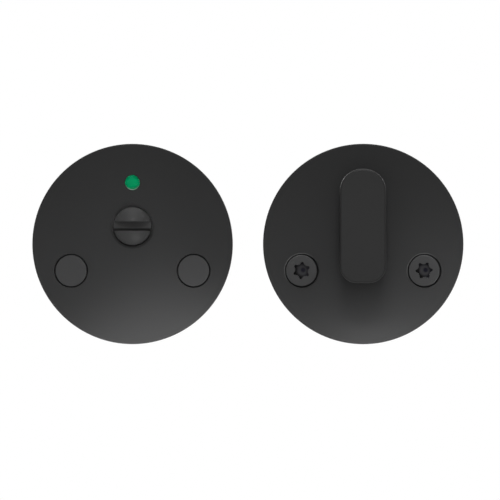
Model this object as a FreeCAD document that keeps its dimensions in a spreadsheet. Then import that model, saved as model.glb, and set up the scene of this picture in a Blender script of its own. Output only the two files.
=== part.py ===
import FreeCAD, Part
import math
import os
import re

import Sketcher
from FreeCAD import Vector

# Bathroom thumb turn lock: the outside half with its occupied indicator and coin release, and the
# inside half with its thumb turn, side by side as they lie before they are bolted through a door.
# Millimetres. +X to the right, +Z up, the faces look along -Y and the door's surface is y = 0.
# The origin is on the thumb turn's spindle axis, where it meets the door's surface.

SIZES = {
    # both roses
    "rose_radius": 26.0,
    "rose_thickness": 6.0,
    "rose_edge": 0.25,
    "half_spacing": 59.9,  # from one turn axis to the other
    "axis_rise": 4.65,  # turn axis above the rose's centre
    "bolt_side": 15.9,  # bolt axis to the side of the turn axis
    "bolt_drop": 6.95,  # bolt axes below the rose's centre
    "counterbore_radius": 4.4,
    "head_radius": 4.1,
    "head_edge": 0.25,
    # fits
    "press_gap": 0.02,
    "running_gap": 0.05,
    "key_gap": 0.05,
    "pin_gap": 0.15,
    "socket_gap": 0.05,
    # outside half, from the front face to the door
    "face_wall": 1.6,
    "cup_radius": 14.2,
    "knob_radius": 4.9,
    "knob_rise": 3.0,
    "knob_rim": 0.8,
    "knob_slot_width": 2.4,
    "knob_slot_depth": 2.7,
    "knob_hole_gap": 0.05,
    "knob_hole_round": 0.5,
    "knob_flange_radius": 6.5,
    "knob_flange": 1.0,
    "slip_washer": 0.3,
    "slip_washer_gap": 0.15,
    "seat_radius": 5.2,
    "seat_flat": 4.4,
    "disc_radius": 13.8,
    "disc_seat": 0.6,
    "mark_distance": 11.3,
    "window_radius": 1.95,
    "window_edge": 0.12,
    "lens_recess": 0.3,
    "lens_flange_radius": 3.05,
    "lens_flange": 0.5,
    "disc_stop_distance": 10.5,
    "disc_stop_angle": 225.0,
    "shaft_radius": 4.3,
    "shaft_reach": 5.0,  # beyond the door's surface
    "socket_depth": 9.0,
    "cover_radius": 23.0,
    "cover_thickness": 1.2,
    "cover_bush_radius": 5.5,
    "cover_bush_flange_radius": 7.0,
    "cover_bush_flange": 0.5,
    "cover_screw_circle": 20.0,
    "cover_screw_radius": 1.0,
    "cover_screw_head_radius": 1.9,
    "cover_screw_head": 0.9,
    "cover_screw_length": 3.6,
    "cover_screw_slot": 0.4,
    "cover_screw_slot_length": 1.36,
    "cover_screw_slot_depth": 0.5,
    "cover_screw_tip": 0.3,
    # sleeve nuts of the outside half
    "nut_head": 2.0,
    "nut_edge": 0.12,
    "neck_radius": 3.7,
    "neck_flat": 3.3,
    "neck_overrun": 0.5,  # past the door's surface
    "post_radius": 3.5,
    "post_length": 30.0,
    "thread_bore_radius": 2.1,
    "thread_bore_length": 27.5,
    "thread_mouth": 0.5,
    # inside half, from the grip to the door
    "grip_width": 11.9,
    "grip_height": 29.5,
    "grip_depth": 9.0,
    "grip_top_corner": 5.7,
    "grip_corner": 4.4,  # the two lower ones
    "grip_front_round": 0.5,
    "grip_back_edge": 0.4,
    "turn_neck_radius": 5.7,
    "turn_neck_length": 4.5,
    "thrust_washer": 0.5,
    "thrust_washer_gap": 0.15,
    "journal_radius": 5.0,
    "turn_wall": 2.0,
    "turn_cup_radius": 12.4,
    "bush_radius": 6.0,
    "bush_flange_radius": 7.5,
    "bush_flange": 0.6,
    "spring_space": 0.8,
    "stop_disc_radius": 12.0,
    "stop_disc_thickness": 0.8,
    "stop_distance": 9.5,
    "stop_angle": 270.0,
    "tail_radius": 4.5,
    "tail_flat": 3.75,
    "tail_setback": 0.4,  # short of the door's surface
    "clip_thickness": 0.8,
    "clip_groove_radius": 4.0,
    "clip_groove_slack": 0.1,
    "clip_radius": 5.6,
    "clip_ear_radius": 1.15,
    "clip_ear_side": 2.45,
    "clip_ear_drop": 6.0,
    "clip_ear_hole": 0.45,
    "clip_mouth": 1.3,  # half the width of the open end
    # stop pins and spring washers of both halves
    "pin_radius": 0.8,
    "pin_press": 1.1,
    "pin_edge": 0.15,
    "pin_clearance": 0.45,  # behind the disc that the pin stops
    "spring_thickness": 0.25,
    "spring_wave": 0.2,
    "spring_play": 0.3,
    "spring_radius": 6.9,
    # spindle and its set screw
    "spindle_half": 2.5,
    "spindle_seat": 4.7,  # into the grip
    "spindle_reach": 45.0,
    "spindle_edge": 0.4,
    "set_screw_radius": 1.5,
    "set_screw_socket": 0.75,
    "set_screw_socket_depth": 1.4,
    "set_screw_sink": 0.2,
    "set_screw_edge": 0.3,
    # through screws of the inside half
    "screw_head": 3.65,
    "screw_head_rise": 0.6,
    "shank_radius": 2.7,
    "shank_gap": 0.2,
    "screw_radius": 2.5,
    "screw_reach": 38.0,
    "screw_tip": 0.5,
    "lobe_span": 4.5,  # six-lobe drive across its points
    "lobe_waist": 3.25,  # and across its hollows
    "lobe_tip": 0.38,
    "lobe_depth": 2.4,
}

# Places along Y that several pieces share
FACE = "-rose_thickness"
CUP_FLOOR = "(face_wall - rose_thickness)"
FLANGE_FRONT = f"({CUP_FLOOR} + slip_washer + running_gap)"
FLANGE_BACK = f"({FLANGE_FRONT} + knob_flange)"
DISC_BACK = f"({FLANGE_BACK} + disc_seat)"
COVER_FRONT = "-cover_thickness"
COVER_BUSH_FRONT = f"({COVER_FRONT} - cover_bush_flange)"
NUT_SEAT = "(nut_head - rose_thickness)"
GRIP_BACK = "(-rose_thickness - thrust_washer - turn_neck_length)"
GRIP_FRONT = f"({GRIP_BACK} - grip_depth)"
NECK_BACK = "(-rose_thickness - thrust_washer)"
TURN_CUP_FLOOR = "(turn_wall - rose_thickness)"
SPRING_FRONT = f"({TURN_CUP_FLOOR} + bush_flange)"
STOP_FRONT = f"({SPRING_FRONT} + spring_space)"
STOP_BACK = f"({STOP_FRONT} + stop_disc_thickness)"
CLIP_BACK = f"({STOP_BACK} + clip_thickness)"
SPINDLE_FRONT = f"({GRIP_BACK} - spindle_seat)"
SCREW_SEAT = "(screw_head - screw_head_rise - rose_thickness)"
SET_SCREW_PLACE = f"({NECK_BACK} - turn_neck_length / 2)"

ROSE_CENTRE = ("0", "-axis_rise")
BOLT_Z = "(-axis_rise - bolt_drop)"
SIDES = {"left": "-bolt_side", "right": "bolt_side"}
COVER_SCREW_ANGLES = (35, 145, 270)
DRIVE_ANGLES = {"left": 24, "right": 4}  # as the tightened screws happen to stand
TRAVEL = 90  # degrees from open to locked
SAME_PLACE = 1e-4

os.makedirs("parts", exist_ok=True)
doc = FreeCAD.newDocument("bathroom_thumb_turn_lock")
sheet = doc.addObject("Spreadsheet::Sheet", "Sizes")
for row, (name, number) in enumerate(SIZES.items(), start=1):
    sheet.set(f"A{row}", name)
    sheet.set(f"B{row}", str(number))
    sheet.setAlias(f"B{row}", name)
doc.recompute()

nodes = []


def sized(formula):
    """A formula over the sizes, with each one looked up in the sheet."""
    return re.sub(r"\b[a-z]+_[a-z_]+\b", lambda found: "Sizes." + found.group(), formula)


def value(formula):
    """The number that a formula gives at this moment."""
    result = sheet.evalExpression(sized(formula))
    return float(getattr(result, "Value", result))


def polar(distance, angle):
    """Formulas for the place at an angle and distance from the axis, seen from the front."""
    return f"(({distance}) * cos(({angle}) * 1deg))", f"(({distance}) * sin(({angle}) * 1deg))"


def body(label, side="0", height="0", is_node=True):
    """A body whose own axis stands at a place on the door."""
    made = doc.addObject("PartDesign::Body", label)
    made.Label = label
    made.setExpression("Placement.Base.x", sized(side))
    made.setExpression("Placement.Base.z", sized(height))
    if is_node:
        nodes.append(made)
    return made


def sketch(owner, name, plane, offset):
    """A sketch on one of the body's own planes, moved along the plane's normal."""
    made = owner.newObject("Sketcher::SketchObject", name)
    origin_plane = next(f for f in owner.Origin.OriginFeatures if f.Role == plane)
    made.AttachmentSupport = [(origin_plane, "")]
    made.MapMode = "FlatFace"
    made.setExpression("AttachmentOffset.Base.z", sized(offset))
    return made


def bind(made, kind, where, formula):
    """A driving dimension of a sketch, tied to its formula."""
    number = made.addConstraint(Sketcher.Constraint(kind, *where, value(formula)))
    made.setExpression(f"Constraints[{number}]", sized(formula))


def pin_point(made, edge, end, across, along):
    """Fixes one point of a sketch edge."""
    bind(made, "DistanceX", (-1, 1, edge, end), across)
    bind(made, "DistanceY", (-1, 1, edge, end), along)


def arc_between(start, end, radius, turns_left):
    """The shorter arc from start to end; turns_left puts its centre on the left of the way."""
    chord = end - start
    middle = (start + end) * 0.5
    reach = math.sqrt(max(radius**2 - (chord.Length / 2) ** 2, 0.0))
    left = Vector(-chord.y, chord.x, 0).normalize()
    centre = middle + left * (reach if turns_left else -reach)
    first, last = (start, end) if turns_left else (end, start)
    angles = [math.atan2(p.y - centre.y, p.x - centre.x) for p in (first, last)]
    return Part.ArcOfCircle(Part.Circle(centre, Vector(0, 0, 1), radius), *angles)


def outline(corners):
    """Draws a closed outline. A corner is (across, along), or (across, along, radius, side) where an
    arc of that radius, with its centre on that side of the way, leads on to the next corner."""

    def draw(made):
        points = [Vector(value(c[0]), value(c[1]), 0) for c in corners]
        ends = []
        for number, corner in enumerate(corners):
            start = points[number]
            end = points[(number + 1) % len(points)]
            if len(corner) == 2:
                edge = made.addGeometry(Part.LineSegment(start, end))
                ends.append((edge, 1, 2))
            else:
                turns_left = corner[3] == "left"
                edge = made.addGeometry(arc_between(start, end, value(corner[2]), turns_left))
                ends.append((edge, 1, 2) if turns_left else (edge, 2, 1))
                bind(made, "Radius", (edge,), corner[2])
        for number, (edge, first, last) in enumerate(ends):
            following = ends[(number + 1) % len(ends)]
            made.addConstraint(Sketcher.Constraint("Coincident", edge, last, following[0], following[1]))
            pin_point(made, edge, first, *corners[number][:2])

    return draw


def circles(*rounds):
    """Draws circles, each (across, along, radius)."""

    def draw(made):
        for across, along, radius in rounds:
            centre = Vector(value(across), value(along), 0)
            edge = made.addGeometry(Part.Circle(centre, Vector(0, 0, 1), value(radius)))
            pin_point(made, edge, 3, across, along)
            bind(made, "Radius", (edge,), radius)

    return draw


def rectangle(left, bottom, right, top):
    return outline([(left, bottom), (right, bottom), (right, top), (left, top)])


def flatted_round(radius, flat, side="0", height="0"):
    """Draws a round with two upright flats."""
    half = f"sqrt(({radius})^2 - ({flat})^2)"
    right, left = f"({side} + {flat})", f"({side} - ({flat}))"
    top, bottom = f"({height} + {half})", f"({height} - {half})"
    corners = [(right, bottom), (right, top, radius, "left"), (left, top), (left, bottom, radius, "left")]
    return outline(corners)


def several(*drawings):
    """Draws several closed outlines in one sketch."""

    def draw(made):
        for drawing in drawings:
            drawing(made)

    return draw


def finish(owner, feature, grows):
    """Rebuilds the body and makes sure that a feature added or removed material."""
    before = sum(s.Volume for s in owner.Shape.Solids) if owner.Shape.Solids else 0.0
    doc.recompute()
    after = sum(s.Volume for s in owner.Shape.Solids)
    if (after > before) != grows or after == before:
        raise ValueError(f"{owner.Label}: {feature.Label} went from {before:.3f} to {after:.3f} mm3")


def add(owner, name, front, back, draw):
    """Material between two places along Y."""
    made = sketch(owner, name + "_sketch", "XZ_Plane", f"-({back})")
    draw(made)
    pad = owner.newObject("PartDesign::Pad", name)
    pad.Profile = made
    pad.setExpression("Length", sized(f"({back}) - ({front})"))
    finish(owner, pad, grows=True)


def cut(owner, name, front, back, draw):
    """A hollow between two places along Y."""
    made = sketch(owner, name + "_sketch", "XZ_Plane", f"-({back})")
    draw(made)
    pocket = owner.newObject("PartDesign::Pocket", name)
    pocket.Profile = made
    pocket.Reversed = True
    pocket.setExpression("Length", sized(f"({back}) - ({front})"))
    finish(owner, pocket, grows=False)


def turned(owner, name, corners):
    """A piece turned on its own axis; corners are (distance from the axis, place along Y)."""
    made = sketch(owner, name + "_sketch", "XY_Plane", "0")
    outline(corners)(made)
    revolution = owner.newObject("PartDesign::Revolution", name)
    revolution.Profile = made
    revolution.ReferenceAxis = (made, ["V_Axis"])
    finish(owner, revolution, grows=True)


def edges_at(owner, along, radius=None):
    """Names of the edges that lie in the plane at a place along Y, or of its circles of one radius."""
    found = []
    base = owner.Tip.Shape
    for number, edge in enumerate(base.Edges, start=1):
        box = edge.BoundBox
        in_plane = max(abs(box.YMin - value(along)), abs(box.YMax - value(along))) < SAME_PLACE
        if radius is None:
            fits = True
        else:
            fits = isinstance(edge.Curve, Part.Circle) and abs(edge.Curve.Radius - value(radius)) < SAME_PLACE
        if in_plane and fits:
            found.append(f"Edge{number}")
    return found


def soften(owner, name, kind, along, size, radius=None):
    """A chamfer or fillet on the edges at a place along Y."""
    base = owner.Tip
    edges = edges_at(owner, along, radius)
    feature = owner.newObject("PartDesign::" + kind, name)
    feature.Base = (base, edges)
    feature.setExpression("Size" if kind == "Chamfer" else "Radius", sized(size))
    finish(owner, feature, grows=False)


def ring(label, inner, outer, front, back, side="0"):
    """A flat washer round the turn axis."""
    made = body(label, side)
    add(made, "ring", front, back, circles(("0", "0", outer), ("0", "0", inner)))


def flanged_bush(label, bore, outer, flange_outer, front, step, back, flange_first, side="0"):
    """A plain bearing bush with a flange on its inner end."""
    made = body(label, side)
    sleeve = (step, back) if flange_first else (front, step)
    flange = (front, step) if flange_first else (step, back)
    add(made, "sleeve", *sleeve, circles(("0", "0", outer), ("0", "0", bore)))
    add(made, "flange", *flange, circles(("0", "0", flange_outer), ("0", "0", bore)))


def stop_slot(owner, front, back, distance, start_angle, end_angle):
    """A curved slot that lets the stop pin travel through the turn's range."""
    width = "(pin_radius + pin_gap)"
    far, near = f"({distance} + {width})", f"({distance} - {width})"
    corners = [
        (*polar(near, end_angle), near, "right"),
        (*polar(near, start_angle),),
        (*polar(far, start_angle), far, "left"),
        (*polar(far, end_angle),),
    ]
    cut(owner, "stop_slot", front, back, outline(corners))
    ends = [(*polar(distance, angle), width) for angle in (start_angle, end_angle)]
    cut(owner, "stop_slot_ends", front, back, circles(*ends))


def stop_pin(label, distance, angle, floor, back, side="0"):
    """A pin pressed into the rose, which stands in the disc's slot."""
    across, along = polar(distance, angle)
    made = body(label, f"{side} + {across}", along)
    front = f"({floor} - pin_press)"
    corners = [
        ("0", front),
        ("(pin_radius - pin_edge)", front),
        ("pin_radius", f"({front} + pin_edge)"),
        ("pin_radius", f"({back} - pin_edge)"),
        ("(pin_radius - pin_edge)", back),
        ("0", back),
    ]
    turned(made, "pin", corners)


def wave_washer(label, inner, outer, front, space, side="0"):
    """A spring washer with three waves, between two flat faces."""
    waves = 3
    points_in_wave = 8
    points = points_in_wave * waves
    middle = value(front) + value(space) / 2
    half = value("spring_thickness") / 2
    wave = value("spring_wave")

    def loop(radius, offset):
        places = []
        for number in range(points):
            angle = 2 * math.pi * number / points
            along = middle + offset + wave * math.sin(waves * angle)
            places.append(Vector(radius * math.cos(angle), along, radius * math.sin(angle)))
        curve = Part.BSplineCurve()
        curve.interpolate(places, PeriodicFlag=True)
        return curve.toShape()

    near, far = value(inner), value(outer)
    loops = [loop(near, -half), loop(far, -half), loop(far, half), loop(near, half)]
    faces = [Part.makeRuledSurface(loops[n], loops[(n + 1) % 4]) for n in range(4)]
    solid = Part.Solid(Part.Shell(faces))
    if solid.Volume < 0:
        solid.reverse()
    made = doc.addObject("Part::Feature", label)
    made.Label = label
    made.Shape = solid
    made.Placement = FreeCAD.Placement(Vector(value(side), 0, 0), FreeCAD.Rotation())
    nodes.append(made)


def six_lobe(made, stands_at):
    """Draws the six-lobe drive: six round points joined by six hollows, all tangent."""
    centre_distance = "(lobe_span / 2 - lobe_tip)"
    waist = "(lobe_waist / 2)"
    hollow = (
        f"((lobe_tip^2 - {centre_distance}^2 - {waist}^2 + 2 * {centre_distance} * {waist} * cos(30deg))"
        f" / (2 * ({waist} - {centre_distance} * cos(30deg) - lobe_tip)))"
    )
    tip, bend = value("lobe_tip"), value(hollow)
    tips, hollows = [], []
    for number in range(6):
        turn = math.radians(60 * number + stands_at)
        tip_distance = value(centre_distance)
        hollow_distance = value(waist) + bend
        tip_centre = Vector(tip_distance * math.cos(turn), tip_distance * math.sin(turn), 0)
        half_turn = turn + math.radians(30)
        hollow_centre = Vector(math.cos(half_turn), math.sin(half_turn), 0) * hollow_distance
        toward = hollow_centre - tip_centre
        lean = math.atan2(toward.y, toward.x) - turn
        circle = Part.Circle(tip_centre, Vector(0, 0, 1), tip)
        tips.append(made.addGeometry(Part.ArcOfCircle(circle, turn - lean, turn + lean)))
        circle = Part.Circle(hollow_centre, Vector(0, 0, 1), bend)
        first = turn + lean + math.pi
        last = half_turn + math.pi - (first - half_turn - math.pi)
        hollows.append(made.addGeometry(Part.ArcOfCircle(circle, last, first)))
        across, along = polar(centre_distance, 60 * number + stands_at)
        pin_point(made, tips[-1], 3, across, along)
        bind(made, "Radius", (tips[-1],), "lobe_tip")
        bind(made, "Radius", (hollows[-1],), hollow)
    for number in range(6):
        after = tips[(number + 1) % 6]
        made.addConstraint(Sketcher.Constraint("Tangent", tips[number], 2, hollows[number], 2))
        made.addConstraint(Sketcher.Constraint("Tangent", hollows[number], 1, after, 1))


def rose(label, side):
    """The plain disc that both halves share, with its two counterbores for the bolts."""
    made = body(label, side)
    add(made, "disc", FACE, "0", circles((*ROSE_CENTRE, "rose_radius")))
    soften(made, "front_edge", "Chamfer", FACE, "rose_edge", "rose_radius")
    soften(made, "back_edge", "Chamfer", "0", "rose_edge", "rose_radius")
    return made


def outer_rose():
    made = rose("outer_rose", "-half_spacing")
    cut(made, "cover_recess", COVER_FRONT, "0", circles((*ROSE_CENTRE, "(cover_radius + running_gap)")))
    cut(made, "cup", CUP_FLOOR, COVER_FRONT, circles(("0", "0", "cup_radius")))
    knob_hole = "(knob_radius + knob_hole_gap)"
    cut(made, "knob_hole", FACE, CUP_FLOOR, circles(("0", "0", knob_hole)))
    soften(made, "knob_hole_edge", "Fillet", FACE, "knob_hole_round", knob_hole)
    cut(made, "window", FACE, CUP_FLOOR, circles(("0", "mark_distance", "window_radius")))
    soften(made, "window_bevel", "Chamfer", FACE, "window_edge", "window_radius")
    ledge = circles(("0", "mark_distance", "(lens_flange_radius + press_gap)"))
    cut(made, "lens_ledge", f"({CUP_FLOOR} - lens_flange)", CUP_FLOOR, ledge)
    bores = [(side, BOLT_Z, "counterbore_radius") for side in SIDES.values()]
    cut(made, "counterbores", FACE, NUT_SEAT, circles(*bores))
    neck, flat = "(neck_radius + key_gap)", "(neck_flat + key_gap)"
    keyed = [flatted_round(neck, flat, side, BOLT_Z) for side in SIDES.values()]
    cut(made, "nut_holes", NUT_SEAT, COVER_FRONT, several(*keyed))
    pin = (*polar("disc_stop_distance", "disc_stop_angle"), "(pin_radius + press_gap)")
    cut(made, "pin_hole", f"({CUP_FLOOR} - pin_press)", CUP_FLOOR, circles(pin))
    taps = [(*cover_screw_place(angle), "(cover_screw_radius + press_gap)") for angle in COVER_SCREW_ANGLES]
    cut(made, "cover_screw_holes", "-(cover_screw_length + cover_screw_tip)", COVER_FRONT, circles(*taps))


def cover_screw_place(angle):
    """A cover screw's place, seen from the turn axis."""
    across, along = polar("cover_screw_circle", angle)
    return across, f"({along} - axis_rise)"


def cover_plate():
    made = body("cover_plate", "-half_spacing")
    add(made, "plate", COVER_FRONT, "0", circles((*ROSE_CENTRE, "cover_radius")))
    cut(made, "bush_hole", COVER_FRONT, "0", circles(("0", "0", "(cover_bush_radius + press_gap)")))
    nuts = [(side, BOLT_Z, "(neck_radius + shank_gap)") for side in SIDES.values()]
    cut(made, "nut_holes", COVER_FRONT, "0", circles(*nuts))
    hole = "(cover_screw_radius + shank_gap)"
    screws = [(*cover_screw_place(angle), hole) for angle in COVER_SCREW_ANGLES]
    cut(made, "screw_holes", COVER_FRONT, "0", circles(*screws))
    soften(made, "countersinks", "Chamfer", "0", "cover_screw_head_radius - cover_screw_radius", hole)


def cover_screws():
    screws = []
    long, short = "(cover_screw_slot_length / 2)", "(cover_screw_slot / 2)"
    for number, angle in enumerate(COVER_SCREW_ANGLES, start=1):
        across, along = cover_screw_place(angle)
        made = body(f"cover_screw_{number}", f"-half_spacing + {across}", along, is_node=False)
        tip = "-cover_screw_length"
        corners = [
            ("0", "0"),
            ("0", tip),
            ("(cover_screw_radius - cover_screw_tip)", tip),
            ("cover_screw_radius", f"({tip} + cover_screw_tip)"),
            ("cover_screw_radius", "-cover_screw_head"),
            ("cover_screw_head_radius", "0"),
        ]
        turned(made, "screw", corners)
        slot_bottom = "-cover_screw_slot_depth"
        cut(made, "slot_across", slot_bottom, "0", rectangle(f"-{long}", f"-{short}", long, short))
        cut(made, "slot_upright", slot_bottom, "0", rectangle(f"-{short}", f"-{long}", short, long))
        screws.append(made)
    group = doc.addObject("Part::Compound", "cover_screws")
    group.Label = "cover_screws"
    group.Links = screws
    nodes.append(group)


def release_turn():
    made = body("release_turn", "-half_spacing")
    crown = "(-rose_thickness - knob_rise)"
    rim = "(-rose_thickness - knob_rim)"
    rise = "(knob_rise - knob_rim)"
    dome = f"((knob_radius^2 + {rise}^2) / (2 * {rise}))"
    corners = [
        ("0", crown, dome, "left"),
        ("knob_radius", rim),
        ("knob_radius", FLANGE_FRONT),
        ("knob_flange_radius", FLANGE_FRONT),
        ("knob_flange_radius", FLANGE_BACK),
        ("shaft_radius", FLANGE_BACK),
        ("shaft_radius", "shaft_reach"),
        ("0", "shaft_reach"),
    ]
    turned(made, "turning", corners)
    add(made, "disc_seat", FLANGE_BACK, DISC_BACK, flatted_round("seat_radius", "seat_flat"))
    side = "(knob_radius + knob_slot_width)"
    half = "(knob_slot_width / 2)"
    slot = rectangle(f"-{side}", f"-{half}", side, half)
    cut(made, "coin_slot", crown, f"({crown} + knob_slot_depth)", slot)
    half = "(spindle_half + socket_gap)"
    socket = rectangle(f"-{half}", f"-{half}", half, half)
    cut(made, "spindle_socket", "(shaft_reach - socket_depth)", "shaft_reach", socket)


def indicator_disc():
    made = body("indicator_disc", "-half_spacing")
    front = f"({CUP_FLOOR} + slip_washer)"
    add(made, "disc", front, DISC_BACK, circles(("0", "0", "disc_radius")))
    cut(made, "flange_recess", front, FLANGE_BACK, circles(("0", "0", "(knob_flange_radius + pin_gap)")))
    key = flatted_round("(seat_radius + press_gap)", "(seat_flat + press_gap)")
    cut(made, "keyed_hole", FLANGE_BACK, DISC_BACK, key)
    start = f"disc_stop_angle - {TRAVEL}"
    stop_slot(made, front, DISC_BACK, "disc_stop_distance", start, "disc_stop_angle")


def indicator_lens():
    made = body("indicator_lens", "-half_spacing", "mark_distance")
    front = "(lens_recess - rose_thickness)"
    step = f"({CUP_FLOOR} - lens_flange)"
    plug = "(window_radius - press_gap)"
    corners = [
        ("0", front),
        (plug, front),
        (plug, step),
        ("lens_flange_radius", step),
        ("lens_flange_radius", CUP_FLOOR),
        ("0", CUP_FLOOR),
    ]
    turned(made, "lens", corners)


def sleeve_nut(label, side):
    made = body(label, f"-half_spacing + {side}", BOLT_Z)
    end = "(neck_overrun + post_length)"
    corners = [
        ("0", FACE),
        ("(head_radius - nut_edge)", FACE),
        ("head_radius", "(nut_edge - rose_thickness)"),
        ("head_radius", NUT_SEAT),
        ("neck_radius", NUT_SEAT),
        ("neck_radius", "neck_overrun"),
        ("post_radius", "neck_overrun"),
        ("post_radius", f"({end} - thread_mouth)"),
        ("(post_radius - thread_mouth)", end),
        ("0", end),
    ]
    turned(made, "turning", corners)
    left = rectangle("-neck_radius", "-neck_radius", "-neck_flat", "neck_radius")
    right = rectangle("neck_flat", "-neck_radius", "neck_radius", "neck_radius")
    cut(made, "neck_flats", NUT_SEAT, "neck_overrun", several(left, right))
    bore_start = f"({end} - thread_bore_length)"
    cut(made, "thread_bore", bore_start, end, circles(("0", "0", "thread_bore_radius")))
    soften(made, "bore_mouth", "Chamfer", end, "thread_mouth", "thread_bore_radius")


def inner_rose():
    made = rose("inner_rose", "0")
    cut(made, "cup", TURN_CUP_FLOOR, "0", circles(("0", "0", "turn_cup_radius")))
    cut(made, "bush_hole", FACE, TURN_CUP_FLOOR, circles(("0", "0", "(bush_radius + press_gap)")))
    bores = [(side, BOLT_Z, "counterbore_radius") for side in SIDES.values()]
    cut(made, "counterbores", FACE, SCREW_SEAT, circles(*bores))
    holes = [(side, BOLT_Z, "(shank_radius + shank_gap)") for side in SIDES.values()]
    cut(made, "screw_holes", SCREW_SEAT, "0", circles(*holes))
    pin = (*polar("stop_distance", "stop_angle"), "(pin_radius + press_gap)")
    cut(made, "pin_hole", f"({TURN_CUP_FLOOR} - pin_press)", TURN_CUP_FLOOR, circles(pin))


def thumb_turn():
    made = body("thumb_turn")
    half_width, half_height = "(grip_width / 2)", "(grip_height / 2)"
    bottom_side, top_side = f"({half_width} - grip_corner)", f"({half_width} - grip_top_corner)"
    side_bottom, side_top = f"(grip_corner - {half_height})", f"({half_height} - grip_top_corner)"
    corners = [
        (bottom_side, f"-{half_height}", "grip_corner", "left"),
        (half_width, side_bottom),
        (half_width, side_top, "grip_top_corner", "left"),
        (top_side, half_height),
        (f"-{top_side}", half_height, "grip_top_corner", "left"),
        (f"-{half_width}", side_top),
        (f"-{half_width}", side_bottom, "grip_corner", "left"),
        (f"-{bottom_side}", f"-{half_height}"),
    ]
    add(made, "grip", GRIP_FRONT, GRIP_BACK, outline(corners))
    soften(made, "grip_front_edge", "Fillet", GRIP_FRONT, "grip_front_round")
    soften(made, "grip_back_edge", "Chamfer", GRIP_BACK, "grip_back_edge")
    add(made, "neck", GRIP_BACK, NECK_BACK, circles(("0", "0", "turn_neck_radius")))
    add(made, "journal", NECK_BACK, STOP_FRONT, circles(("0", "0", "journal_radius")))
    add(made, "tail", STOP_FRONT, "-tail_setback", flatted_round("tail_radius", "tail_flat"))
    groove = circles(("0", "0", "journal_radius"), ("0", "0", "clip_groove_radius"))
    cut(made, "clip_groove", STOP_BACK, f"({CLIP_BACK} + clip_groove_slack)", groove)
    half = "(spindle_half + socket_gap)"
    bore = rectangle(f"-{half}", f"-{half}", half, half)
    cut(made, "spindle_bore", f"({SPINDLE_FRONT} - socket_gap)", "-tail_setback", bore)
    hole = sketch(made, "set_screw_hole_sketch", "XY_Plane", "-spindle_half")
    circles(("0", SET_SCREW_PLACE, "(set_screw_radius + press_gap)"))(hole)
    pocket = made.newObject("PartDesign::Pocket", "set_screw_hole")
    pocket.Profile = hole
    pocket.setExpression("Length", sized("turn_neck_radius"))
    finish(made, pocket, grows=False)


def set_screw():
    """The grub screw that holds the spindle in the neck, standing upright below the axis."""
    made = body("spindle_set_screw")
    made.setExpression("Placement.Base.y", sized(SET_SCREW_PLACE))
    start, end = "-(turn_neck_radius - set_screw_sink)", "-(spindle_half + press_gap)"
    profile = sketch(made, "turning_sketch", "XZ_Plane", "0")
    corners = [
        ("0", start),
        ("(set_screw_radius - set_screw_edge)", start),
        ("set_screw_radius", f"({start} + set_screw_edge)"),
        ("set_screw_radius", f"({end} - set_screw_edge)"),
        ("(set_screw_radius - set_screw_edge)", end),
        ("0", end),
    ]
    outline(corners)(profile)
    turning = made.newObject("PartDesign::Revolution", "turning")
    turning.Profile = profile
    turning.ReferenceAxis = (profile, ["V_Axis"])
    finish(made, turning, grows=True)
    socket = sketch(made, "socket_sketch", "XY_Plane", start)
    hexagon = [polar("set_screw_socket / cos(30deg)", 60 * number) for number in range(6)]
    outline(hexagon)(socket)
    pocket = made.newObject("PartDesign::Pocket", "socket")
    pocket.Profile = socket
    pocket.Reversed = True
    pocket.setExpression("Length", sized("set_screw_socket_depth"))
    finish(made, pocket, grows=False)


def stop_disc():
    made = body("stop_disc")
    add(made, "disc", STOP_FRONT, STOP_BACK, circles(("0", "0", "stop_disc_radius")))
    key = flatted_round("(tail_radius + press_gap)", "(tail_flat + press_gap)")
    cut(made, "keyed_hole", STOP_FRONT, STOP_BACK, key)
    stop_slot(made, STOP_FRONT, STOP_BACK, "stop_distance", "stop_angle", f"stop_angle + {TRAVEL}")


def retaining_ring():
    made = body("retaining_ring")
    inner = "(clip_groove_radius + press_gap)"
    add(made, "ring", STOP_BACK, CLIP_BACK, circles(("0", "0", "clip_radius"), ("0", "0", inner)))
    ears = [(side, "-clip_ear_drop", "clip_ear_radius") for side in ("-clip_ear_side", "clip_ear_side")]
    add(made, "ears", STOP_BACK, CLIP_BACK, circles(*ears))
    mouth = rectangle("-clip_mouth", "-(clip_ear_drop + clip_ear_radius)", "clip_mouth", "0")
    cut(made, "mouth", STOP_BACK, CLIP_BACK, mouth)
    holes = [(side, along, "clip_ear_hole") for side, along, radius in ears]
    cut(made, "ear_holes", STOP_BACK, CLIP_BACK, circles(*holes))


def spindle():
    made = body("spindle")
    square = rectangle("-spindle_half", "-spindle_half", "spindle_half", "spindle_half")
    add(made, "bar", SPINDLE_FRONT, "spindle_reach", square)
    soften(made, "front_end", "Chamfer", SPINDLE_FRONT, "spindle_edge")
    soften(made, "back_end", "Chamfer", "spindle_reach", "spindle_edge")


def through_screw(hand, side):
    made = body(f"{hand}_through_screw", side, BOLT_Z)
    top = "(-rose_thickness - screw_head_rise)"
    corners = [
        ("0", top),
        ("(head_radius - head_edge)", top, "head_edge", "left"),
        ("head_radius", f"({top} + head_edge)"),
        ("head_radius", SCREW_SEAT),
        ("shank_radius", SCREW_SEAT),
        ("shank_radius", "neck_overrun"),
        ("screw_radius", "neck_overrun"),
        ("screw_radius", "(screw_reach - screw_tip)"),
        ("(screw_radius - screw_tip)", "screw_reach"),
        ("0", "screw_reach"),
    ]
    turned(made, "turning", corners)
    drive_bottom = f"({top} + lobe_depth)"
    cut(made, "six_lobe_drive", top, drive_bottom, lambda made: six_lobe(made, DRIVE_ANGLES[hand]))


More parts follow.
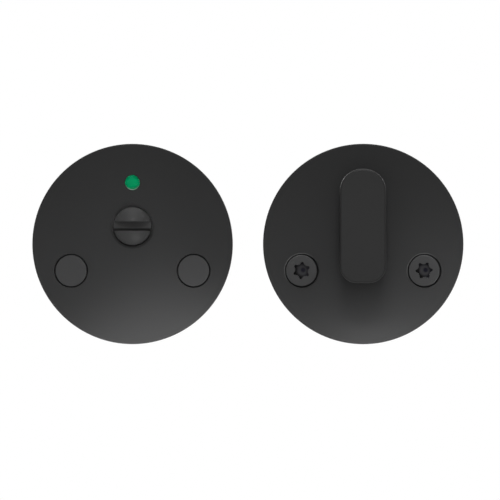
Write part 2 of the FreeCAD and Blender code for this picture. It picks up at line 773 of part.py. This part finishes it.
outer_rose()
cover_plate()
cover_screws()
release_turn()
ring(
    "release_slip_washer",
    "(knob_radius + slip_washer_gap)",
    "knob_flange_radius",
    CUP_FLOOR,
    f"({CUP_FLOOR} + slip_washer)",
    "-half_spacing",
)
indicator_disc()
indicator_lens()
wave_washer(
    "release_wave_washer",
    "(shaft_radius + spring_play)",
    "spring_radius",
    DISC_BACK,
    f"({COVER_BUSH_FRONT} - {DISC_BACK})",
    "-half_spacing",
)
flanged_bush(
    "release_bush",
    "(shaft_radius + running_gap)",
    "cover_bush_radius",
    "cover_bush_flange_radius",
    COVER_BUSH_FRONT,
    COVER_FRONT,
    "0",
    True,
    "-half_spacing",
)
stop_pin(
    "release_stop_pin",
    "disc_stop_distance",
    "disc_stop_angle",
    CUP_FLOOR,
    f"({DISC_BACK} + pin_clearance)",
    "-half_spacing",
)
for hand, place in SIDES.items():
    sleeve_nut(f"{hand}_sleeve_nut", place)
inner_rose()
thumb_turn()
ring(
    "turn_slip_washer",
    "(journal_radius + thrust_washer_gap)",
    "turn_neck_radius",
    NECK_BACK,
    FACE,
)
flanged_bush(
    "turn_bush",
    "(journal_radius + running_gap)",
    "bush_radius",
    "bush_flange_radius",
    FACE,
    TURN_CUP_FLOOR,
    SPRING_FRONT,
    False,
)
wave_washer(
    "turn_wave_washer",
    "(journal_radius + spring_play)",
    "bush_flange_radius",
    SPRING_FRONT,
    "spring_space",
)
stop_disc()
stop_pin("turn_stop_pin", "stop_distance", "stop_angle", TURN_CUP_FLOOR, f"({STOP_BACK} + pin_clearance)")
retaining_ring()
spindle()
set_screw()
for hand, place in SIDES.items():
    through_screw(hand, place)

doc.recompute()
for item in doc.Objects:
    if "Invalid" in item.State or "Error" in item.State:
        raise ValueError(f"{item.Label} failed: {item.State}")
for node in nodes:
    if node.Shape.isNull() or not node.Shape.isValid():
        raise ValueError(f"{node.Label} has no valid shape")
for node in nodes:
    node.Shape.exportStep(f"parts/{node.Label}.step")
print(len(nodes), "parts written")
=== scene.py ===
import math

import bmesh
import bpy
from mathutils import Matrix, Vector


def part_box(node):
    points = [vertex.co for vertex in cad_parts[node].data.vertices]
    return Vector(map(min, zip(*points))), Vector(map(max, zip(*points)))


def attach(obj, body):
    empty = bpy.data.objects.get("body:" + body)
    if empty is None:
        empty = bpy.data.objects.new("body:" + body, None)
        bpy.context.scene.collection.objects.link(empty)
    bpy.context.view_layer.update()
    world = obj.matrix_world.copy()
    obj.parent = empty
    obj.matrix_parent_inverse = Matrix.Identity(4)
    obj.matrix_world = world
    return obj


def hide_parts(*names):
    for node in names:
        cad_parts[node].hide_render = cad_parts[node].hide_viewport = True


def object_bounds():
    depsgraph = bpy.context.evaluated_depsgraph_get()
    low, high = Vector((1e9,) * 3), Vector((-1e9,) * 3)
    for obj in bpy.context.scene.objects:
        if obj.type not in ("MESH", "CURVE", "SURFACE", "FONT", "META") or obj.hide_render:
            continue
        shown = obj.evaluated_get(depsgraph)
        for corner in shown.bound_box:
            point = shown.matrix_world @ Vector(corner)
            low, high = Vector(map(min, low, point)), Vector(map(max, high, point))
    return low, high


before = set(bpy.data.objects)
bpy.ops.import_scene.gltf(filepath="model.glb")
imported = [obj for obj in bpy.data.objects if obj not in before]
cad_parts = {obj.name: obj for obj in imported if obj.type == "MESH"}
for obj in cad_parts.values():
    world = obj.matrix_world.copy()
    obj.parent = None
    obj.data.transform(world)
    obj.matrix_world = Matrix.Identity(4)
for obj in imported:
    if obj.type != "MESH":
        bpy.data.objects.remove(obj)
cad_low, cad_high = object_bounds()

MM = 0.001


def axis_of(node_name):
    """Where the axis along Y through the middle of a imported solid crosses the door's surface."""
    low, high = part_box(node_name)
    return Vector(((low.x + high.x) / 2, 0, (low.z + high.z) / 2))


# Places in the row frame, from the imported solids
SCREWS = ("left_through_screw", "right_through_screw")
RELEASE_AXIS = axis_of("release_turn")
inner_low, inner_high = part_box("inner_rose")
ROSE_FACE = inner_low.y
ROSE_SIZE = inner_high.z - inner_low.z

# The photograph's frame: how wide it is at the roses' faces and what lies at its middle
PHOTO_SIDE = 500
ROSE_PIXELS = 200.4
INNER_ROSE_PIXEL = (363.2, 244.0)
CAMERA_DISTANCE = 2.5
CAMERA_AZIMUTH = math.radians(1.0)
CAMERA_CLIP = (0.05, 20)
SENSOR_WIDTH = 36.0

# Where a noise texture's values mostly lie
NOISE_LOW, NOISE_HIGH = 0.3, 0.7

TINT_DEPTH = -3.4 * MM  # ring tints fade out here, so that they don't show at the back
TINT_FADE = 0.1 * MM
# how far the painted shade in the coin slot fades in behind its depth
SLOT_SHADE_FADE = 0.4 * MM

# The painted fields of the indicator disc
FIELD_MARGIN = 0.3 * MM  # from the disc's edge
FIELD_WIDTH = 5.0 * MM
FIELD_HALF_ANGLE = math.radians(20)
FIELD_RISE = 0.04 * MM
FIELD_SINK = 0.02 * MM  # into the disc
FIELD_STEPS = 24

# The painted highlight on the lens's lower edge: a pale solid crescent
LIP_RADIUS = 1.83 * MM
LIP_THICKNESS = 0.10 * MM
LIP_HALF_ANGLE = math.radians(72)
LIP_STEPS, LIP_SIDES = 36, 8

# The through screws
DRIVE_RADIUS = 2.3 * MM  # all of the six-lobe drive lies within it
SCREW_NECK = -3.0 * MM  # the drive ends in front of it
SCREW_LEAN = Vector((-0.10, 0, 0.07)) * MM  # the heads lie to the upper left in their counterbores
SHANK_CUT = 0.45 * MM  # the thread starts here
THREAD_OVERLAP = 0.05 * MM
THREAD_RADIUS = 2.5 * MM
THREAD_PITCH = 0.8 * MM
THREAD_DEPTH = 0.43 * MM
THREAD_TIP = 0.6 * MM
THREAD_SEGMENTS = 48
THREAD_LEVELS = 6  # rings along one pitch

# The ground and the light
FLOOR_HALF = 900 * MM
FLOOR_DROP = 90 * MM  # below the roses
FLOOR_SEEN_GLOW = 0.9
WORLD_DIM, WORLD_WHITE = 0.25, 1.0


def add_node(tree, kind, inputs, operation=None, output=0):
    """A node with its inputs linked or set, and one of its outputs."""
    node = tree.nodes.new(kind)
    if operation is not None:
        node.operation = operation
    for socket, value in inputs.items():
        if isinstance(value, bpy.types.NodeSocket):
            tree.links.new(value, node.inputs[socket])
        else:
            node.inputs[socket].default_value = value
    return node.outputs[output]


def new_material(name):
    """A node material with its shader and the object's own coordinates."""
    material = bpy.data.materials.new(name)
    material.use_nodes = True
    tree = material.node_tree
    shader = tree.nodes["Principled BSDF"]
    place = tree.nodes.new("ShaderNodeTexCoord").outputs["Object"]
    return material, tree, shader, place


def smooth_noise(tree, place, scale, detail):
    """A noise texture, in cycles for each metre."""
    return add_node(tree, "ShaderNodeTexNoise", {"Vector": place, "Scale": scale, "Detail": detail})


def vary(tree, fac, low, high):
    """A value that runs from low to high with a texture."""
    inputs = {"Value": fac, "From Min": NOISE_LOW, "From Max": NOISE_HIGH, "To Min": low, "To Max": high}
    return add_node(tree, "ShaderNodeMapRange", inputs)


def blend_colour(tree, fac, low, high):
    """A colour that runs from low to high with a texture."""
    blend = tree.nodes.new("ShaderNodeValToRGB")
    first, last = blend.color_ramp.elements
    first.position, last.position = NOISE_LOW, NOISE_HIGH
    first.color, last.color = (*low, 1), (*high, 1)
    tree.links.new(fac, blend.inputs["Fac"])
    return blend.outputs["Color"]


def finish_surface(tree, shader, colour, roughness, height, depth):
    """Links a shader's colour, roughness and relief; depth is the relief's, in metres."""
    relief = add_node(tree, "ShaderNodeBump", {"Strength": 1.0, "Distance": depth, "Height": height})
    tree.links.new(colour, shader.inputs["Base Color"])
    tree.links.new(roughness, shader.inputs["Roughness"])
    tree.links.new(relief, shader.inputs["Normal"])


def black_coat(name, low, high, roughness, gloss, grain=9000.0, depth=0.0025 * MM):
    """Satin black coat: a fine grain, and a slow drift in its roughness."""
    material, tree, shader, place = new_material(name)
    shader.inputs["Specular IOR Level"].default_value = gloss
    drift = 0.015
    fine = smooth_noise(tree, place, grain, 3.0)
    slow = smooth_noise(tree, place, 60.0, 1.0)
    colour = blend_colour(tree, fine, low, high)
    finish_surface(tree, shader, colour, vary(tree, slow, roughness - drift, roughness + drift), fine, depth)
    return material


def metal(name, low, high, roughness, grain, stretch=(1, 1, 1), depth=0.002 * MM):
    """Bare or plated metal with a worked grain, stretched along the way it was worked."""
    material, tree, shader, place = new_material(name)
    shader.inputs["Metallic"].default_value = 1.0
    drift = 0.06
    worked = add_node(tree, "ShaderNodeMapping", {"Vector": place, "Scale": stretch})
    fine = smooth_noise(tree, worked, grain, 3.0)
    slow = smooth_noise(tree, place, 150.0, 2.0)
    colour = blend_colour(tree, slow, low, high)
    finish_surface(tree, shader, colour, vary(tree, fine, roughness - drift, roughness + drift), fine, depth)
    return material


def plastic(name, low, high, roughness, gloss=0.4, grain=2500.0, depth=0.004 * MM):
    """Moulded plastic with a spark-eroded skin."""
    material, tree, shader, place = new_material(name)
    shader.inputs["Specular IOR Level"].default_value = gloss
    drift = 0.04
    fine = smooth_noise(tree, place, grain, 2.0)
    colour = blend_colour(tree, fine, low, high)
    finish_surface(tree, shader, colour, vary(tree, fine, roughness - drift, roughness + drift), fine, depth)
    return material


def clear_lens():
    """Clear plastic with faint moulding waves, bloomed so that little of the room shows in it."""
    material, tree, shader, place = new_material("clear_lens")
    shader.inputs["Base Color"].default_value = (0.96, 0.98, 0.97, 1)
    shader.inputs["Transmission Weight"].default_value = 1.0
    shader.inputs["IOR"].default_value = 1.1
    waves = smooth_noise(tree, place, 700.0, 1.0)
    relief = add_node(tree, "ShaderNodeBump", {"Strength": 1.0, "Distance": 0.002 * MM, "Height": waves})
    tree.links.new(vary(tree, waves, 0.02, 0.05), shader.inputs["Roughness"])
    tree.links.new(relief, shader.inputs["Normal"])
    return material


def ramp(tree, value, start, end):
    """0 at start, 1 at end, and even between them."""
    return add_node(tree, "ShaderNodeMapRange", {"Value": value, "From Min": start, "From Max": end})


def product(tree, first, *others):
    """The product of two or more values."""
    for other in others:
        first = add_node(tree, "ShaderNodeMath", {0: first, 1: other}, "MULTIPLY")
    return first


def greater(tree, first, second):
    """The greater of two values."""
    return add_node(tree, "ShaderNodeMath", {0: first, 1: second}, "MAXIMUM")


def part_of(tree, vector, axis):
    """A vector's X, Y or Z."""
    return add_node(tree, "ShaderNodeSeparateXYZ", {0: vector}, output=axis)


def tint(material, amount, colour, dull=False):
    """Mixes a colour into a coat; a dull one takes the coat's gloss away too."""
    tree = material.node_tree
    shader = tree.nodes["Principled BSDF"]
    coat = shader.inputs["Base Color"].links[0].from_socket
    mixed = add_node(tree, "ShaderNodeMixRGB", {"Fac": amount, "Color1": coat, "Color2": (*colour, 1)})
    tree.links.new(mixed, shader.inputs["Base Color"])
    if dull:
        before = shader.inputs["Metallic"].links
        if before:
            amount = greater(tree, before[0].from_socket, amount)
        tree.links.new(amount, shader.inputs["Metallic"])


def object_place(material):
    """The object's own coordinates, from the node that the material has for them."""
    return next(node for node in material.node_tree.nodes if node.type == "TEX_COORD").outputs["Object"]


def slot_painted_shade(material, low, full, none, depth, colour):
    """Painted shade along the lower corner of the coin slot, dark and without gloss: from one height up to
    where it fades, behind a depth.
    """
    tree = material.node_tree
    place = object_place(material)
    height = part_of(tree, place, "Z")
    behind = ramp(tree, part_of(tree, place, "Y"), depth - SLOT_SHADE_FADE, depth)
    above = add_node(tree, "ShaderNodeMath", {0: height, 1: low}, "GREATER_THAN")
    tint(material, product(tree, ramp(tree, height, none, full), behind, above), colour, dull=True)


def ring_tint(material, centre, inner, outer, colour, toward=None, reach=(0.0, 0.9), dull=False):
    """A tint in a ring round an axis along Y, in front only. With an angle in degrees, it lies on that
    side: none of it at the first cosine of reach, and all of it at the second."""
    tree = material.node_tree
    place = object_place(material)
    flat = add_node(tree, "ShaderNodeVectorMath", {0: place, 1: (1, 0, 1)}, "MULTIPLY")
    offset = add_node(tree, "ShaderNodeVectorMath", {0: flat, 1: (centre.x, 0, centre.z)}, "SUBTRACT")
    radius = add_node(tree, "ShaderNodeVectorMath", {0: offset}, "LENGTH", "Value")
    fade = (outer - inner) / 4
    starts = ramp(tree, radius, inner - fade, inner + fade)
    ends = ramp(tree, radius, outer + fade, outer - fade)
    in_front = ramp(tree, part_of(tree, place, "Y"), TINT_DEPTH + TINT_FADE, TINT_DEPTH)
    amount = product(tree, starts, ends, in_front)
    if toward is not None:
        way = add_node(tree, "ShaderNodeVectorMath", {0: offset}, "NORMALIZE")
        side = (math.cos(math.radians(toward)), 0, math.sin(math.radians(toward)))
        cosine = add_node(tree, "ShaderNodeVectorMath", {0: way, 1: side}, "DOT_PRODUCT", "Value")
        amount = product(tree, amount, ramp(tree, cosine, *reach))
    tint(material, amount, colour, dull)


def drive_floor_light_and_shade(name, centre):
    """The floor of a six-lobe drive: lighter than the screw's oxide as a painted reflection, with a darker
    spot near its middle, and painted shade in the lobes and on the lower sides.
    """
    # Painted reflection: a lighter, bluish copy of the black oxide.
    material = black_coat(name, (0.0155, 0.0150, 0.0175), (0.0190, 0.0182, 0.0214), 0.36, 0.24)
    point = centre + Vector((0.3, 0, 0.2)) * MM
    lower = (1.25 * MM, 2.6 * MM)
    # A darker spot near the middle of the floor.
    ring_tint(material, point, -0.3 * MM, 0.6 * MM, (0.008, 0.008, 0.012), dull=True)
    # Painted shade: darker in the lobes near the walls, and on the lower sides.
    ring_tint(material, centre, 1.5 * MM, 2.8 * MM, (0.006, 0.006, 0.007), dull=True)
    ring_tint(material, centre, *lower, (0.010, 0.0098, 0.0118), 320, (-0.6, 0.4), dull=True)
    ring_tint(material, centre, *lower, (0.005, 0.005, 0.005), 210, (0.2, 0.7), dull=True)
    return material


ROSE_COAT = black_coat("rose_coat", (0.0233, 0.0233, 0.0235), (0.0263, 0.0263, 0.0265), 0.40, 0.123)
TURN_COAT = black_coat("turn_coat", (0.0035, 0.0035, 0.0035), (0.0045, 0.0045, 0.0045), 0.38, 0.239)
KNOB_COAT = black_coat("knob_coat", (0.0290, 0.0290, 0.0292), (0.0320, 0.0320, 0.0322), 0.48, 0.24)
OXIDE = black_coat("black_oxide", (0.0035, 0.0035, 0.0038), (0.0045, 0.0045, 0.0050), 0.42, 0.42, 6000.0)
# Painted shade: a darker, bluish copy of the black oxide with less gloss, for the walls of the six-lobe
# drives.
DRIVE_SHADE = black_coat("drive_painted_shade", (0.0022, 0.0022, 0.0034), (0.0036, 0.0036, 0.0060), 0.30, 0.12, 6000.0)
ZINC = metal("zinc_steel", (0.285, 0.29, 0.30), (0.335, 0.34, 0.35), 0.34, 4000.0)
DRAWN = metal("drawn_steel", (0.235, 0.24, 0.25), (0.285, 0.29, 0.30), 0.32, 5000.0, (1, 0.04, 1))
SPRING = metal("spring_steel", (0.13, 0.13, 0.14), (0.18, 0.18, 0.19), 0.36, 5000.0)
NYLON = plastic("pale_nylon", (0.66, 0.64, 0.57), (0.72, 0.70, 0.63), 0.48)
BLACK_NYLON = plastic("black_nylon", (0.018, 0.018, 0.018), (0.026, 0.026, 0.026), 0.45, 0.15)
PAINT = {"grain": 3000.0, "depth": 0.001 * MM}
GREEN = plastic("vacant_green", (0.0008, 0.355, 0.135), (0.0012, 0.385, 0.150), 0.60, 0.0, **PAINT)
RED = plastic("engaged_red", (0.46, 0.010, 0.009), (0.52, 0.014, 0.011), 0.60, 0.0, **PAINT)
# Painted highlight: the pale colour of the crescent that stands for light caught on the lens's lower edge.
LIP_HIGHLIGHT = plastic("lens_painted_highlight", (0.30, 0.44, 0.37), (0.36, 0.50, 0.43), 0.35, 0.3, **PAINT)
LENS = clear_lens()

NODE_MATERIALS = {
    "outer_rose": ROSE_COAT,
    "inner_rose": ROSE_COAT,
    "release_turn": KNOB_COAT,
    "thumb_turn": TURN_COAT,
    "left_sleeve_nut": OXIDE,
    "right_sleeve_nut": OXIDE,
    "left_through_screw": OXIDE,
    "right_through_screw": OXIDE,
    "spindle_set_screw": OXIDE,
    "cover_plate": ZINC,
    "cover_screws": ZINC,
    "spindle": DRAWN,
    "stop_disc": ZINC,
    "turn_stop_pin": ZINC,
    "release_stop_pin": ZINC,
    "retaining_ring": SPRING,
    "turn_wave_washer": SPRING,
    "release_wave_washer": SPRING,
    "turn_bush": BLACK_NYLON,
    "release_bush": NYLON,
    "turn_slip_washer": BLACK_NYLON,
    "release_slip_washer": BLACK_NYLON,
    "indicator_disc": BLACK_NYLON,
    "indicator_lens": LENS,
}


def paint_light_and_shade():
    """Painted light and shade on the coats: painted shade along the coin slot's lower corner, the groove
    round the knob painted lighter, most at its top, a painted shadow below the knob, and painted highlights
    on the upper left of the screws' counterbore rims.
    """
    heights = {"low": -1.25 * MM, "full": -0.75 * MM, "none": -0.4 * MM}
    # Painted shade: a dark band without gloss along the lower corner of the coin slot.
    slot_painted_shade(KNOB_COAT, **heights, depth=-7.0 * MM, colour=(0.009, 0.009, 0.009))
    # Painted light: the groove round the knob made lighter all round, and lighter still at its top.
    painted_light_groove = (4.9 * MM, 5.2 * MM)
    ring_tint(ROSE_COAT, RELEASE_AXIS, *painted_light_groove, (0.07, 0.07, 0.07))
    ring_tint(ROSE_COAT, RELEASE_AXIS, *painted_light_groove, (0.12, 0.12, 0.12), 90)
    # Painted shadow: a darker ring just outside the knob, on its lower side.
    ring_tint(ROSE_COAT, RELEASE_AXIS, 5.15 * MM, 5.8 * MM, (0.010, 0.010, 0.010), 270, (-0.3, 0.5))
    # Painted highlights: a lighter arc on the upper left of each screw's counterbore rim.
    for name in SCREWS:
        ring_tint(ROSE_COAT, axis_of(name), 4.4 * MM, 4.62 * MM, (0.10, 0.10, 0.10), 130)


def dress_nodes():
    for name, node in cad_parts.items():
        node.data.materials.clear()
        node.data.materials.append(NODE_MATERIALS[name])


def new_piece(name, made, materials, body):
    """A piece made from a bmesh, riding on a body."""
    bmesh.ops.recalc_face_normals(made, faces=made.faces)
    data = bpy.data.meshes.new(name)
    made.to_mesh(data)
    made.free()
    piece = bpy.data.objects.new(name, data)
    bpy.context.scene.collection.objects.link(piece)
    for material in materials:
        data.materials.append(material)
    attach(piece, body)
    return piece


def smooth(piece, angle=30):
    """Smooth shading, with edges over an angle kept sharp."""
    modifier = piece.modifiers.new("smooth_faces", "EDGE_SPLIT")
    modifier.split_angle = math.radians(angle)
    for polygon in piece.data.polygons:
        polygon.use_smooth = True


def join_rings(made, rings):
    """Faces from each ring of points to the next, and one over each end."""
    sides = len(rings[0])
    for before, after in zip(rings, rings[1:]):
        for n in range(sides):
            following = (n + 1) % sides
            made.faces.new((before[n], before[following], after[following], after[n]))
    made.faces.new(rings[0][::-1])
    made.faces.new(rings[-1])


def indicator_field(name, angle, material):
    """A painted field on the indicator disc: part of a ring, seen through the window."""
    low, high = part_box("indicator_disc")
    outer = (high.z - low.z) / 2 - FIELD_MARGIN
    inner = outer - FIELD_WIDTH
    front, back = low.y - FIELD_RISE, low.y + FIELD_SINK
    corners = ((inner, front), (outer, front), (outer, back), (inner, back))
    made = bmesh.new()
    rings = []
    for step in range(FIELD_STEPS + 1):
        turn = angle - FIELD_HALF_ANGLE + 2 * FIELD_HALF_ANGLE * step / FIELD_STEPS
        ring = []
        for radius, y in corners:
            x = RELEASE_AXIS.x + radius * math.cos(turn)
            z = RELEASE_AXIS.z + radius * math.sin(turn)
            ring.append(made.verts.new((x, y, z)))
        rings.append(ring)
    join_rings(made, rings)
    new_piece(name, made, [material], "release")


def lens_painted_highlight():
    """A painted highlight: a pale solid crescent along the lower side of the window, at the lens's rounded
    edge.
    """
    low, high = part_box("indicator_lens")
    centre = (low + high) / 2
    made = bmesh.new()
    rings = []
    for step in range(1, LIP_STEPS):
        turn = -math.pi / 2 - LIP_HALF_ANGLE + 2 * LIP_HALF_ANGLE * step / LIP_STEPS
        thick = LIP_THICKNESS * math.sin(math.pi * step / LIP_STEPS)
        ring = []
        for n in range(LIP_SIDES):
            angle = 2 * math.pi * n / LIP_SIDES
            radius = LIP_RADIUS + thick * math.cos(angle)
            x = centre.x + radius * math.cos(turn)
            z = centre.z + radius * math.sin(turn)
            ring.append(made.verts.new((x, low.y + thick * math.sin(angle), z)))
        rings.append(ring)
    join_rings(made, rings)
    smooth(new_piece("lens_painted_highlight", made, [LIP_HIGHLIGHT], "root"))


def thread_reach(along, left, turned):
    """The thread's radius at a length from its start and from its end, at a share of a turn."""
    core = THREAD_RADIUS - THREAD_DEPTH
    below_core = THREAD_RADIUS - THREAD_DEPTH * 1.05
    phase = (along / THREAD_PITCH - turned) % 1.0
    groove = 1 - abs(2 * phase - 1)
    reach = THREAD_RADIUS - THREAD_DEPTH * min(1.0, max(0.0, groove * 1.25 - 0.125))
    taper = below_core - (THREAD_TIP - left) if left < THREAD_TIP else THREAD_RADIUS
    reach = min(reach, max(taper, below_core - THREAD_TIP))
    if along < THREAD_PITCH / 2:
        reach = max(core, reach - THREAD_DEPTH * (1 - along * 2 / THREAD_PITCH))
    return reach


def threaded_rod(made, centre, start, end):
    """Adds a closed rod with a helical thread to a bmesh, along Y."""
    step = THREAD_PITCH / THREAD_LEVELS
    count = int(math.ceil((end - start) / step)) + 1
    rings = []
    for level in range(count):
        y = min(start + level * step, end)
        ring = []
        for n in range(THREAD_SEGMENTS):
            angle = 2 * math.pi * n / THREAD_SEGMENTS
            reach = thread_reach(y - start, end - y, n / THREAD_SEGMENTS)
            x = centre.x + reach * math.cos(angle)
            z = centre.z + reach * math.sin(angle)
            ring.append(made.verts.new((x, y, z)))
        rings.append(ring)
    join_rings(made, rings)


def threaded_screw(node_name):
    """The through screw with its head as built and a real thread on its shank."""
    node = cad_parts[node_name]
    low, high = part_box(node_name)
    centre = axis_of(node_name)
    made = bmesh.new()
    made.from_mesh(node.data)
    bmesh.ops.remove_doubles(made, verts=made.verts, dist=0.0005 * MM)
    everything = list(made.verts) + list(made.edges) + list(made.faces)
    cut = {"plane_co": (0, SHANK_CUT, 0), "plane_no": (0, 1, 0), "clear_outer": True}
    bmesh.ops.bisect_plane(made, geom=everything, **cut)
    rim = [edge for edge in made.edges if edge.is_boundary]
    bmesh.ops.holes_fill(made, edges=rim, sides=0)
    made.normal_update()
    drive_front = low.y + 0.02 * MM
    # The drive's walls get the painted-shade copy of the oxide, and its floor the lighter copy with painted
    # reflection and shade.
    for face in made.faces:
        middle = face.calc_center_median() - centre
        if math.hypot(middle.x, middle.z) < DRIVE_RADIUS and drive_front < middle.y < SCREW_NECK:
            face.material_index = 2 if abs(face.normal.y) > 0.9 else 1
    threaded_rod(made, centre, SHANK_CUT - THREAD_OVERLAP, high.y)
    bmesh.ops.translate(made, vec=SCREW_LEAN, verts=made.verts)
    materials = [OXIDE, DRIVE_SHADE, drive_floor_light_and_shade(node_name + "_drive", centre)]
    piece = new_piece(node_name + "_threaded", made, materials, "root")
    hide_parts(node_name)
    smooth(piece, 35)


def aim(thing, way):
    """Turns a camera or lamp to look along a direction."""
    thing.rotation_mode = "QUATERNION"
    thing.rotation_quaternion = way.to_track_quat("-Z", "Y")


def add_camera():
    """A long lens square on to the roses, a little to their right, framed as the photograph is."""
    scale = ROSE_SIZE / ROSE_PIXELS
    rose_middle = Vector(((inner_low.x + inner_high.x) / 2, ROSE_FACE, (inner_low.z + inner_high.z) / 2))
    middle = PHOTO_SIDE / 2
    right = (middle - INNER_ROSE_PIXEL[0]) * scale
    up = (INNER_ROSE_PIXEL[1] - middle) * scale
    target = rose_middle + Vector((right, 0, up))
    back = Vector((math.sin(CAMERA_AZIMUTH), -math.cos(CAMERA_AZIMUTH), 0))
    data = bpy.data.cameras.new("camera")
    data.sensor_width = SENSOR_WIDTH
    data.lens = SENSOR_WIDTH * CAMERA_DISTANCE / (PHOTO_SIDE * scale)
    data.clip_start, data.clip_end = CAMERA_CLIP
    camera = bpy.data.objects.new("camera", data)
    camera.location = target + back * CAMERA_DISTANCE
    aim(camera, -back)
    bpy.context.scene.collection.objects.link(camera)
    bpy.context.scene.camera = camera


# Lamps: place, target, and width and height in millimetres, then watts and the whole angle of the beam in
# degrees. Those with a narrow beam have a grid in front, and light one side of a rose or of the knob.
LAMPS = {
    "overhead": ((-30, -214, 973), (-30, -6, -5), (1000, 300), 3.6, 180),
    "high_stripe": ((-60, -580, 800), (-60, -6, 0), (70, 560), 0.45, 180),
    "tall": ((57, -996, 300), (-30, -6, -5), (120, 750), 1.02, 180),
    "high_strip": ((-30, -150, 90), (-30, -6, -36), (360, 12), 0.0262, 30),
    "knob_low": ((-36.5, -66, -75), (-58.4, -8.5, -2.5), (18, 18), 0.00037, 20),
    "outer_low_left": ((-94.9, -50, -76), (-70.4, -6, -40), (30, 12), 0.00616, 30),
    "outer_low_right": ((-9.9, -90, -70), (-39.9, -6, -34), (30, 14), 0.00509, 24),
    "outer_side": ((-108, -50, -20), (-72, -6, -30), (12, 40), 0.00043, 40),
    "inner_low": ((0, -90, -76), (0, -6, -40), (30, 12), 0.00359, 24),
    "inner_low_right": ((35, -90, -76), (10.5, -6, -40), (30, 12), 0.00288, 24),
    "inner_side": ((60, -60, -60), (24, -6, -24), (12, 30), 0.00175, 28),
    "rear_left": ((-700, 900, 400), (-30, 10, -5), (600, 600), 7.0, 180),
    "rear_right": ((600, 950, 250), (-30, 10, -5), (600, 600), 6.0, 180),
}


def add_lamps():
    for name, (place, target, size, power, beam) in LAMPS.items():
        data = bpy.data.lights.new(name, "AREA")
        data.shape = "RECTANGLE"
        data.size, data.size_y = (side * MM for side in size)
        data.energy = power
        data.spread = math.radians(beam)
        lamp = bpy.data.objects.new(name, data)
        lamp.location = Vector(place) * MM
        lamp.visible_camera = False
        aim(lamp, (Vector(target) - Vector(place)).normalized())
        bpy.context.scene.collection.objects.link(lamp)


def looked_at(tree):
    """1 for a ray from the camera, a gloss or a clear piece, else 0."""
    path = tree.nodes.new("ShaderNodeLightPath").outputs
    either = greater(tree, path["Is Camera Ray"], path["Is Glossy Ray"])
    return greater(tree, either, path["Is Transmission Ray"])


def mixed_shader(tree, amount, first, second):
    """The first shader where the amount is 0, and the second where it is 1."""
    return add_node(tree, "ShaderNodeMixShader", {"Fac": amount, 1: first, 2: second})


def floor_material():
    """Pale ground: nearly white where it is looked at, with the object's shadow, and clear from below."""
    material = bpy.data.materials.new("pale_floor")
    material.use_nodes = True
    tree = material.node_tree
    tree.nodes.clear()
    lit = add_node(tree, "ShaderNodeBsdfDiffuse", {"Color": (0.6, 0.6, 0.6, 1)})
    shown_lit = add_node(tree, "ShaderNodeBsdfDiffuse", {"Color": (0.35, 0.35, 0.35, 1)})
    shown_glow = add_node(tree, "ShaderNodeEmission", {"Strength": FLOOR_SEEN_GLOW})
    shown = add_node(tree, "ShaderNodeAddShader", {0: shown_lit, 1: shown_glow})
    ground = mixed_shader(tree, looked_at(tree), lit, shown)
    clear = add_node(tree, "ShaderNodeBsdfTransparent", {})
    from_below = add_node(tree, "ShaderNodeNewGeometry", {}, output="Backfacing")
    output = tree.nodes.new("ShaderNodeOutputMaterial")
    tree.links.new(mixed_shader(tree, from_below, ground, clear), output.inputs["Surface"])
    return material


def add_floor():
    """A pale floor below the roses, which ends before it would rise into the camera's view."""
    made = bmesh.new()
    z = cad_low.z - FLOOR_DROP
    corners = ((-1, -1), (1, -1), (1, 1), (-1, 1))
    made.faces.new([made.verts.new((x * FLOOR_HALF, y * FLOOR_HALF, z)) for x, y in corners])
    data = bpy.data.meshes.new("floor")
    made.to_mesh(data)
    made.free()
    floor = bpy.data.objects.new("floor", data)
    data.materials.append(floor_material())
    bpy.context.scene.collection.objects.link(floor)


def add_world():
    """White where it is looked at, and a dim even light on the object."""
    world = bpy.data.worlds.new("studio")
    world.use_nodes = True
    tree = world.node_tree
    tree.nodes.clear()
    dim = add_node(tree, "ShaderNodeBackground", {"Color": (1, 1, 1, 1), "Strength": WORLD_DIM})
    white = add_node(tree, "ShaderNodeBackground", {"Color": (1, 1, 1, 1), "Strength": WORLD_WHITE})
    output = tree.nodes.new("ShaderNodeOutputWorld")
    tree.links.new(mixed_shader(tree, looked_at(tree), dim, white), output.inputs["Surface"])
    bpy.context.scene.world = world


paint_light_and_shade()
dress_nodes()
indicator_field("vacant_field", math.radians(90), GREEN)
indicator_field("engaged_field", math.radians(0), RED)
lens_painted_highlight()
for screw in SCREWS:
    threaded_screw(screw)
add_camera()
add_lamps()
add_floor()
add_world()
bpy.context.scene.view_settings.view_transform = "Standard"
